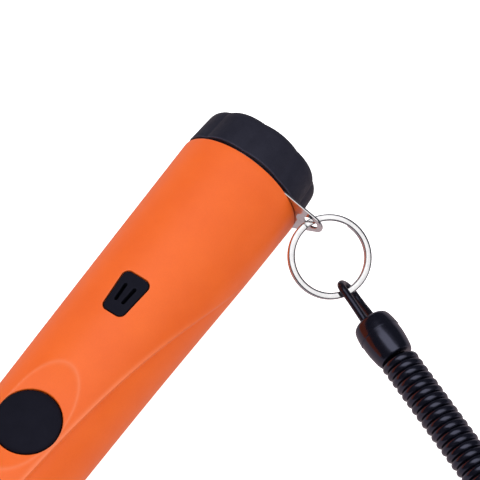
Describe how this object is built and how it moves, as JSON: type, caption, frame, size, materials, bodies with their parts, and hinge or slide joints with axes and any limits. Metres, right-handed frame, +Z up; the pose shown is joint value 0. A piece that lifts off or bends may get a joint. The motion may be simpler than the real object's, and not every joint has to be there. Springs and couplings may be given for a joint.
{
  "type": "pinpointer probe",
  "caption": "Hand-held pinpointer metal detector with a tapered grip, a power button, a screw battery cap and a coiled lanyard on a split ring and snap hook.",
  "frame": {"origin": "centre of the battery cap's flat end face", "axes": "+X along the probe from the cap to the tip, +Z up through the power button, +Y towards the side with the thumb scoop and the lanyard lug"},
  "size_m": [0.235, 0.2525, 0.04],
  "materials": {
    "orange_plastic": "satin moulded orange, finely textured",
    "black_plastic": "matte blue-black moulded",
    "black_rubber": "soft black",
    "black_gloss": "glossy black moulded",
    "nickel": "bright nickel plate",
    "clear_lens": "clear",
    "circuit_board": "green solder mask",
    "copper": "enamelled copper wire",
    "ferrite": "dark fired",
    "natural_plastic": "uncoloured moulded",
    "battery_wrap": "plain dark wrap",
    "red_insulation": "red wire cover",
    "foam": "closed-cell foam",
    "steel": "plain"
  },
  "bodies": {
    "probe": {"grip_housing": "orange_plastic", "probe_stem": "black_plastic", "stem_seal": "black_rubber", "led_lens": "clear_lens", "led_lamp": "clear_lens", "speaker_grille": "black_plastic", "tact_switch": "black_plastic", "battery_9v": "battery_wrap", "battery_connector": "black_plastic", "contact_plus": "nickel", "contact_minus": "nickel", "battery_lead_black": "black_rubber", "battery_lead_red": "red_insulation", "chassis": "natural_plastic", "main_board": "circuit_board", "board_screw_1": "steel", "board_screw_2": "steel", "board_screw_3": "steel", "board_screw_4": "steel", "control_chip": "black_plastic", "capacitor_left": "battery_wrap", "capacitor_right": "battery_wrap", "sounder": "black_plastic", "vibration_motor": "steel", "motor_cradle": "natural_plastic", "coil_lead_left": "copper", "coil_lead_right": "copper", "ferrite_rod": "ferrite", "coil_bobbin": "natural_plastic", "transmit_coil": "copper", "receive_coil": "copper"},
    "thrust_pad": {"battery_pad": "foam"},
    "cap": {"battery_cap": "black_plastic", "cap_seal": "black_rubber"},
    "button": {"power_button": "black_plastic", "switch_stem": "natural_plastic"},
    "motor_rotor": {"motor_shaft": "steel", "motor_weight": "steel"},
    "lug": {"lanyard_lug": "nickel"},
    "ring": {"split_ring": "nickel"},
    "cord": {"cord_loop": "black_rubber", "near_sleeve": "black_gloss", "coil_cord": "black_gloss"},
    "cord_end": {"far_sleeve": "black_gloss", "far_loop": "black_rubber", "swivel_eye": "nickel"},
    "hook": {"hook_body": "nickel", "gate_pin": "nickel", "gate_spring": "steel"},
    "gate": {"hook_gate": "nickel"}
  },
  "joints": [
    {"name": "cap_lift", "type": "slide", "parent": "probe", "child": "thrust_pad", "axis": [-1, 0, 0], "range_m": [0, 0.009]},
    {"name": "cap_turn", "type": "hinge", "parent": "thrust_pad", "child": "cap", "pos_m": [0, 0, 0], "axis": [-1, 0, 0], "range_deg": [0, 1081]},
    {"name": "button_press", "type": "slide", "parent": "probe", "child": "button", "axis": [0, 0, -1], "range_m": [0, 0.0006], "stiffness_N_per_m": 1200},
    {"name": "motor_spin", "type": "hinge", "parent": "probe", "child": "motor_rotor", "pos_m": [0.107, 0, -0.0074], "axis": [1, 0, 0], "continuous": true},
    {"name": "lug_turn", "type": "hinge", "parent": "probe", "child": "lug", "pos_m": [0.013, 0, 0], "axis": [1, 0, 0], "continuous": true},
    {"name": "ring_swing", "type": "hinge", "parent": "lug", "child": "ring", "pos_m": [0.013, 0.02506, 0.00263], "axis": [1, 0, 0], "range_deg": [-40, 60]},
    {"name": "loop_travel", "type": "hinge", "parent": "ring", "child": "cord", "pos_m": [0.01719, 0.03447, -0.00238], "axis": [0.2193, 0.3809, 0.8982], "range_deg": [-55, 55]},
    {"name": "cord_stretch", "type": "slide", "parent": "cord", "child": "cord_end", "axis": [0.4231, 0.9052, 0.04], "range_m": [0, 0.12], "stiffness_N_per_m": 12, "deforming": ["coil_cord"]},
    {"name": "hook_swivel", "type": "hinge", "parent": "cord_end", "child": "hook", "pos_m": [0.09474, 0.20083, -0.00045], "axis": [0.4231, 0.9052, 0.04], "continuous": true},
    {"name": "hook_gate_open", "type": "hinge", "parent": "hook", "child": "gate", "pos_m": [0.1045, 0.20897, -0.00022], "axis": [0.0216, -0.0542, 0.9983], "range_deg": [0, 24], "stiffness_Nm_per_rad": 0.01}
  ],
  "couplings": [
    {"joint": "cap_turn", "follows": "cap_lift", "rad_per_m": 2094.4}
  ]
}
